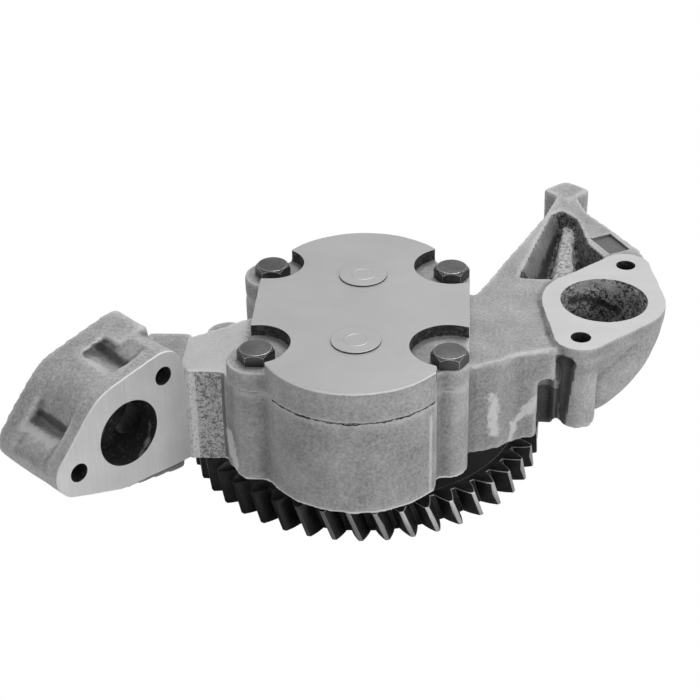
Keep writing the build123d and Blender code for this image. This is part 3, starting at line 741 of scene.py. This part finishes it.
# %% Machining helpers
def select_points(piece, wanted):
    """Selects the mesh's points that pass a test on their place."""
    only(piece)
    bpy.ops.object.mode_set(mode="EDIT")
    bpy.ops.mesh.select_mode(type="VERT")
    bpy.ops.mesh.select_all(action="DESELECT")
    bpy.ops.object.mode_set(mode="OBJECT")
    for point in piece.data.vertices:
        point.select = wanted(point.co)
    bpy.ops.object.mode_set(mode="EDIT")


def raise_stock(piece, wanted, direction, amount):
    """Moves the points of a face outwards, to leave metal for the cut."""
    select_points(piece, wanted)
    bpy.ops.transform.translate(value=Vector(direction) * amount)
    bpy.ops.object.mode_set(mode="OBJECT")


def face_off(piece, place, size, turn):
    """Mills away a box, given by its middle, its size and its turn about the upright axis."""
    cut_away(piece, new_box(place, size, (0, 0, turn)))


def bore(piece, place, direction, radius, depth, segments=96):
    """Cuts a round hole that starts at a place and runs against a direction."""
    direction = Vector(direction).normalized()
    over = 0.006
    middle = Vector(place) + direction * (over - depth) / 2
    cut_away(piece, new_bar(middle, direction, radius, depth + over, segments))


# %% [markdown]
# ## The pump body
# One iron casting with the barrel, both arms and the bracket. First come the lumps: the
# swell of the duct behind the outlet flange, the lip under that flange and the filled
# corner behind the outlet's neck.

# %% Lumps of the body
def ahead_of_outlet(spot):
    """Distance of a spot in front of the outlet flange's face."""
    return (spot - outlet_face).dot(outlet_way)


def slanted(first, second):
    """Turn that lays a box's X and Y along two directions at right angles."""
    return Matrix((first, second, first.cross(second))).transposed().to_euler()


body = copy_of("pump_body", "body_casting")
duct_swell = new_bar(outlet_place(-0.0041, 0.0074, 0.0240), outlet_way, 0.0232, 0.0300)
lip_run = (outlet_across * 0.9897 - upright * 0.1433).normalized()
lip = new_box(outlet_place(0.0180, -0.0342, 0.0072), (0.0390, 0.0080, 0.0080), slanted(lip_run, -outlet_way))
neck_corner = new_box((-0.1015, -0.0465, 0.0645), (0.0230, 0.0290, 0.0445), (0, 0, 0))
for lump in (duct_swell, lip, neck_corner):
    join_lump(body, lump)
print("body with its lumps has", len(body.data.polygons), "faces")

# %% [markdown]
# Then the hollows: three flats round off the mounting boss's back, a long three-sided
# wedge opens the gap beside the inlet's front column, and the column's foot is cut short.

# %% Hollows of the body
boss_flats = ((90.0, 0.0124), (64.0, 0.0112), (116.0, 0.0112))
flat_depth = 0.020
for angle, reach in boss_flats:
    way = Vector((math.cos(math.radians(angle)), math.sin(math.radians(angle)), 0))
    face_off(body, boss_middle + way * (reach + flat_depth / 2), (flat_depth, 0.040, 0.090),
             math.radians(angle))
gap_place = Vector((0.1083, -0.0425, 0.0664))
bpy.ops.object.select_all(action="DESELECT")
bpy.ops.mesh.primitive_cylinder_add(vertices=3, radius=0.0100, depth=0.0090, location=gap_place,
                                    rotation=(math.radians(-90), 0, 0), scale=(0.54, 3.04, 1.0))
cut_away(body, bpy.context.object)
face_off(body, (0.1160, -0.0340, 0.0345), (0.0250, 0.0290, 0.0060), 0.0)
print("rough body has", len(body.data.polygons), "faces")

# %% [markdown]
# A few areas of the casting are told apart by outlines seen from above: the bracket's
# pocket, the rib in it and the rib's bright crest. The coarse sand goes only on the rib
# and inside the inlet's bore.

# %% Areas of the body
rib_outline = ((0.0970, 0.0300), (0.1220, 0.0300), (0.1210, 0.0740), (0.1210, 0.1080),
               (0.1120, 0.1160), (0.1060, 0.0840))
crest_outline = ((0.0985, 0.0300), (0.1215, 0.0300), (0.1200, 0.0740), (0.1190, 0.1050),
                 (0.1135, 0.1120), (0.1085, 0.0840))
pocket_outline = ((0.0830, 0.0310), (0.1230, 0.0280), (0.1360, 0.0580), (0.1275, 0.0745),
                  (0.1225, 0.1070), (0.1120, 0.1200), (0.1045, 0.1110))


def inside(outline, spot):
    """Whether a spot lies inside a closed outline seen from above."""
    crossings = 0
    for (x1, y1), (x2, y2) in zip(outline, outline[1:] + outline[:1]):
        if (y1 > spot.y) != (y2 > spot.y) and spot.x < x1 + (x2 - x1) * (spot.y - y1) / (y2 - y1):
            crossings += 1
    return crossings % 2 == 1


def from_axis(spot, place, way):
    """Distance of a spot from the axis through a place."""
    return (spot - place).cross(way).length


def is_rib(spot):
    """Whether a spot is on the rib between the bracket's legs."""
    return 0.0640 < spot.z < 0.0800 and spot.y > 0.032 and inside(rib_outline, spot)


def in_inlet(spot, normal):
    """Whether a spot with its normal is on the inside of the inlet's bore."""
    inward = Vector((inlet_face.x - spot.x, inlet_face.y - spot.y, 0))
    return inward.length < 0.0250 and 0.036 < spot.z < 0.0884 and (normal.dot(inward) > 0 or normal.z > 0.3)


def is_gap(spot):
    """Whether a spot is in the narrowing gap beside the inlet's front column."""
    gap_foot, gap_height, gap_half_width = 0.0360, 0.0456, 0.0047
    half = gap_half_width * (spot.z - gap_foot) / gap_height + 0.0010
    return abs(spot.x - gap_place.x) < half and -0.0460 < spot.y < -0.0360 and spot.z < 0.0830


def is_notch(spot):
    """Whether a spot is in the notch between the inlet arm and its front column."""
    return 0.0920 < spot.x < 0.1055 and -0.0440 < spot.y < -0.0200 and spot.z < 0.0575


print("outline of the pocket has", len(pocket_outline), "points")

# %% [markdown]
# The two flange faces get their stock, and the body is poured. A weak swell makes the
# whole skin a little uneven.

# %% Poured body
stock = 0.003
raise_stock(body, lambda spot: spot.x < -0.06 and ahead_of_outlet(spot) > -0.0001, outlet_way, stock)
raise_stock(body, lambda spot: spot.x > 0.08 and spot.z > inlet_face.z - 0.0001, upright, stock)
pour(body, 0.0015, 4)
roughen(body, swell, 0.0010)
roughen(body, sand, 0.0036, lambda spot, normal: is_rib(spot))
roughen(body, sand, 0.0034, in_inlet)

# %% [markdown]
# Milling and boring come last: both flange faces, the shallow recess on the bracket's leg,
# the oil ways and bolt holes in the flanges, the two gear chambers and the relief valve's
# bore.

# %% Machined faces of the body
face_off(body, outlet_place(-0.011, 0, -0.006), (0.098, 0.012, 0.104), outlet_turn)
face_off(body, inlet_face + upright * 0.005, (0.095, 0.125, 0.010), 0.0)
face_off(body, leg_recess, (0.0135, 0.0215, 0.0100), math.radians(28))
print("milled body has", len(body.data.polygons), "faces")

# %% Bores of the body
outlet_holes = [outlet_place(0.0244, 0.0231, 0), outlet_place(-0.0325, -0.0082, 0)]
inlet_holes = [inlet_face + Vector((side * 0.0146, side * 0.0400, 0)) for side in (-1, 1)]
bore(body, outlet_face, outlet_way, 0.01815, 0.024)
for hole in outlet_holes:
    bore(body, hole, outlet_way, 0.00515, 0.024, 48)
bore(body, inlet_face, upright, 0.02365, 0.0016)
for hole in inlet_holes:
    bore(body, hole, upright, 0.0054, 0.0600, 48)
for chamber_y in (0.0, driven_y):
    bore(body, (0, chamber_y, joint_level), upright, 0.04045, 0.03012, 128)
bore(body, valve_axis + upright * body_bottom, -upright, 0.00706, 0.0370, 48)
print("machined body has", len(body.data.polygons), "faces")

# %% [markdown]
# Each face of the casting gets its finish by where it lies and which way it looks. The
# outlet's side, the inlet's side and the barrel between them each have their own test.

# %% Finishes of the body
def finish_faces(piece, finishes, choose, angle=38):
    """Gives the piece its finishes, each face the one that a test chooses, and smooth shading."""
    piece.data.materials.clear()
    for finish in finishes:
        piece.data.materials.append(finish)
    for face in piece.data.polygons:
        face.material_index = finishes.index(choose(face.center, face.normal))
    only(piece)
    bpy.ops.object.shade_smooth_by_angle(angle=math.radians(angle))


neck_start, neck_front = -0.0830, -0.0680


def outlet_finish(spot, normal):
    """Finish of a face of the outlet block or its neck."""
    ahead = ahead_of_outlet(spot)
    if normal.dot(outlet_way) > 0.999 and abs(ahead) < 0.0002:
        return outlet_ground
    in_bore = from_axis(spot, outlet_face, outlet_way) < 0.0187 and ahead < -0.0001
    in_hole = min(from_axis(spot, hole, outlet_way) for hole in outlet_holes) < 0.0056
    # Bores and bolt holes are painted dark as shade.
    if (in_bore or in_hole) and normal.dot(outlet_way) > -0.5:
        return port_painted_shade
    # Painted shade under the lip below the outlet flange.
    if -0.008 < ahead < -0.0012 and spot.z < 0.0335 and normal.dot(outlet_way) > 0.3:
        return recess_painted_shade
    # Painted highlight on the front-facing strip beside the outlet flange.
    if -0.0880 < spot.x < neck_start and spot.y < -0.0690 and normal.y < -0.3:
        return flange_side_painted_highlight
    if neck_start < spot.x < -0.0700 and spot.y < neck_front and normal.y < -0.4:
        return neck_skin
    # The arm's upward faces are painted lighter, as painted light.
    if spot.z > 0.0850 and normal.z > 0.7 and spot.x > -0.0905:
        return arm_top_painted_light
    if spot.x > neck_start:
        return barrel_skin if spot.y < neck_front else body_skin
    return flange_skin if ahead > -0.004 else outlet_skin


def inlet_finish(spot, normal):
    """Finish of a face of the inlet arm, the elbow or the bracket."""
    if normal.z > 0.999 and abs(spot.z - inlet_face.z) < 0.0002:
        return inlet_ground
    # Bolt holes are painted dark as shade.
    if min(from_axis(spot, hole, upright) for hole in inlet_holes) < 0.0058 and normal.z > -0.5:
        return port_painted_shade
    if in_inlet(spot, normal):
        return inlet_skin
    # The rib's crest is painted light; its flanks get the pocket's painted shade.
    if is_rib(spot) and spot.z > 0.0700 and inside(crest_outline, spot):
        return rib_crest_painted_light
    # Painted shade in the bracket's pocket, darkest on its right-facing flank.
    if 0.0550 < spot.z < 0.0862 and inside(pocket_outline, spot):
        return flank_painted_shade if normal.x > 0.75 and spot.y > 0.044 else pocket_painted_shade
    # Painted shade in the gap and the notch.
    if is_gap(spot) or is_notch(spot):
        return gap_painted_shade
    # Painted shade in the shallow recess on the bracket's leg.
    if 0.0845 < spot.z < 0.0859 and from_axis(spot, leg_recess, upright) < 0.0130:
        return recess_painted_shade
    if spot.y < -0.030 and normal.y < -0.25 and spot.x < 0.1045:
        return arm_skin
    return body_skin


def is_front_lobe(spot):
    """Whether a spot is on the round front of the barrel or of the cover."""
    return abs(spot.x) < 0.041 and spot.y < -0.086


def body_finish(spot, normal):
    """Finish of any face of the body."""
    outlet_side, inlet_side = -0.0600, 0.0575
    if spot.x < outlet_side:
        return outlet_finish(spot, normal)
    if spot.x > inlet_side:
        return inlet_finish(spot, normal)
    is_wall = abs(normal.z) < 0.8
    if is_front_lobe(spot) and is_wall:
        return lobe_skin
    return barrel_skin if is_wall or spot.z < 0.080 else body_skin


finish_faces(body, [body_skin, barrel_skin, lobe_skin, arm_skin, arm_top_painted_light, outlet_skin, flange_skin,
                    inlet_ground, outlet_ground, port_painted_shade, inlet_skin, pocket_painted_shade, flank_painted_shade, rib_crest_painted_light,
                    gap_painted_shade, recess_painted_shade, neck_skin, flange_side_painted_highlight], body_finish)
body.data.calc_loop_triangles()
print("body_casting has", len(body.data.loop_triangles), "triangles")
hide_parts("pump_body")
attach(body, "pump")

# %% [markdown]
# ## The cover
# A flat iron plate whose top is ground. Its sides and the round clearances for the bolt
# heads keep their cast skin, so it is poured as the body was, and its top is faced off.

# %% Cover
cover = copy_of("pump_cover", "cover_casting")
raise_stock(cover, lambda spot: spot.z > cover_top - 0.0011, upright, stock)
pour(cover, 0.0010, 4)
roughen(cover, swell, 0.0006)
face_off(cover, (0, driven_y / 2, cover_top + 0.005), (0.150, 0.200, 0.010), 0.0)
print("cover_casting has", len(cover.data.polygons), "faces")

# %% [markdown]
# The walls of the clearances that look towards their bolt are dark with old oil and with painted shade, and the
# front of the plate shares the painted shade of the joint with the body.

# %% Finishes of the cover
bolt_places = [Vector((x, y, 0)) for x in (-0.0504, 0.0476) for y in (-0.0760, 0.0125)]
clearance_floor = 0.0980


def cover_finish(spot, normal):
    """Finish of a face of the cover."""
    if normal.z > 0.999 and spot.z > cover_top - 0.0002:
        return cover_face
    level = Vector((spot.x, spot.y, 0))
    bolt = min(bolt_places, key=lambda place: (place - level).length)
    near_bolt = (bolt - level).length < 0.0260 and spot.z > clearance_floor + 0.0004 and abs(normal.z) < 0.6
    # Painted shade, with old oil, on the clearance walls that look towards their bolt.
    if near_bolt and normal.dot(bolt - level) > 0:
        return clearance_painted_shade
    return cover_front_skin if is_front_lobe(spot) else cover_skin


finish_faces(cover, [cover_skin, cover_front_skin, cover_face, clearance_painted_shade], cover_finish)
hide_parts("pump_cover")
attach(cover, "pump")

# %% [markdown]
# ## Bolts
# The four cover bolts are dark forged heads whose edges have worn bright. A bevel modifier
# can give the faces that it makes a finish of their own, so one small bevel makes both the
# rounded edges and their bright lines.

# %% Cover bolts
def worn_copy(node, name, width, angle, finishes):
    """Copy of a CAD piece with narrow bevelled edges in its second finish."""
    piece = copy_of(node, name)
    for finish in finishes:
        piece.data.materials.append(finish)
    apply_modifier(piece, "BEVEL", width=width, segments=2, limit_method="ANGLE",
                   angle_limit=math.radians(angle), material=1, use_clamp_overlap=True)
    only(piece)
    bpy.ops.object.shade_smooth_by_angle(angle=math.radians(30))
    return piece


bolts = worn_copy("cover_bolts", "bolt_heads", 0.00035, 22, (bolt_steel, worn_edge))
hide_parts("cover_bolts")
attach(bolts, "pump")
print("bolt_heads has", len(bolts.data.polygons), "faces")

# %% [markdown]
# ## Plugs over the shaft bores
# Two pressed plugs close the shaft bores. Each stands just proud of the cover, with a
# rounded edge and a small pressed ring in its middle. The rim is rounded with a bevel, and
# the top is inset four times, up and down, for the ring.

# %% Plugs
def make_plug(name, y):
    """Pressed plug with a rounded rim and a small ring."""
    proud, plug_height = 0.0009, 0.0026
    plug = new_bar((0, y, cover_top + proud - plug_height / 2), upright, 0.0129, plug_height)
    plug.name = name
    bpy.ops.object.transform_apply(location=True, rotation=True, scale=True)
    select_points(plug, lambda spot: spot.z > cover_top)
    bpy.ops.mesh.select_mode(type="FACE")
    bpy.ops.mesh.bevel(offset=0.0004, segments=3, affect="EDGES")
    bpy.ops.mesh.select_all(action="DESELECT")
    bpy.ops.object.mode_set(mode="OBJECT")
    for face in plug.data.polygons:
        face.select = face.normal.z > 0.99 and face.area > 0.0001
    bpy.ops.object.mode_set(mode="EDIT")
    ring_height = 0.00012
    for thickness, depth in ((0.0060, 0.0), (0.0004, ring_height), (0.0005, 0.0), (0.0004, -ring_height)):
        bpy.ops.mesh.inset(thickness=thickness, depth=depth)
    bpy.ops.object.mode_set(mode="OBJECT")
    # The plug's rim walls are painted dark, as painted shade.
    finish_faces(plug, [cover_face, clearance_painted_shade],
                 lambda spot, normal: cover_face if normal.z > 0.3 else clearance_painted_shade, 12)
    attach(plug, "pump")
    return plug


plugs = [make_plug("drive_plug", 0.0), make_plug("driven_plug", driven_y)]
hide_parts("cover_plugs")
print("plugs:", [plug.name for plug in plugs])

# %% [markdown]
# ## Relief valve spring
# Inside the body, the relief valve's spring shortens between its plug and the piston as the piston slides down.
# A copy of it gets its finish and a mesh of its own, and hangs on the pump.

# %% Relief valve spring
valve_spring = copy_of("relief_valve_spring", "valve_spring")
finish_faces(valve_spring, [bolt_steel], lambda spot, normal: bolt_steel)
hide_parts("relief_valve_spring")
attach(valve_spring, "pump")
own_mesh(valve_spring)
print(valve_spring.name, "flattens with the piston's slide")

# %% [markdown]
# ## Drive gear
# The gear is dull, with dark flanks. Its teeth run hard against another gear, so their
# lands and edges are bright. The lands are told from the flanks by their radius.

# %% Drive gear
land_radius = 0.0972
gear = worn_copy("drive_gear", "helical_gear", 0.0003, 35, (gear_steel, gear_land))
for face in gear.data.polygons:
    if math.hypot(face.center.x, face.center.y) > land_radius:
        face.material_index = 1
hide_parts("drive_gear")
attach(gear, "drive_train")
print("helical_gear has", len(gear.data.polygons), "faces")

# %% [markdown]
# ## Floor
# A real pump would stand on a bench. The floor gives the underside its pale light, and
# the camera sees it as plain white with no shadow, as on a light table.

# %% Floor
def make_floor():
    """Pale floor just under the pump's lowest point."""
    bpy.ops.object.select_all(action="DESELECT")
    bpy.ops.mesh.primitive_plane_add(size=6.0, location=(0, 0, cad_box[0][2] - 0.0005))
    floor = bpy.context.object
    floor.name = "floor"
    surface = bpy.data.materials.new("floor_white")
    surface.use_nodes = True
    tree = surface.node_tree
    shader = tree.nodes["Principled BSDF"]
    shader.inputs["Base Color"].default_value = (0.9, 0.9, 0.9, 1)
    shader.inputs["Roughness"].default_value = 0.9
    glow = tree.nodes.new("ShaderNodeEmission")
    path = tree.nodes.new("ShaderNodeLightPath")
    mix = tree.nodes.new("ShaderNodeMixShader")
    out = tree.nodes["Material Output"]
    tree.links.new(path.outputs["Is Camera Ray"], mix.inputs["Fac"])
    tree.links.new(shader.outputs[0], mix.inputs[1])
    tree.links.new(glow.outputs[0], mix.inputs[2])
    tree.links.new(mix.outputs[0], out.inputs["Surface"])
    floor.data.materials.append(surface)
    return floor


print("floor:", make_floor().name)
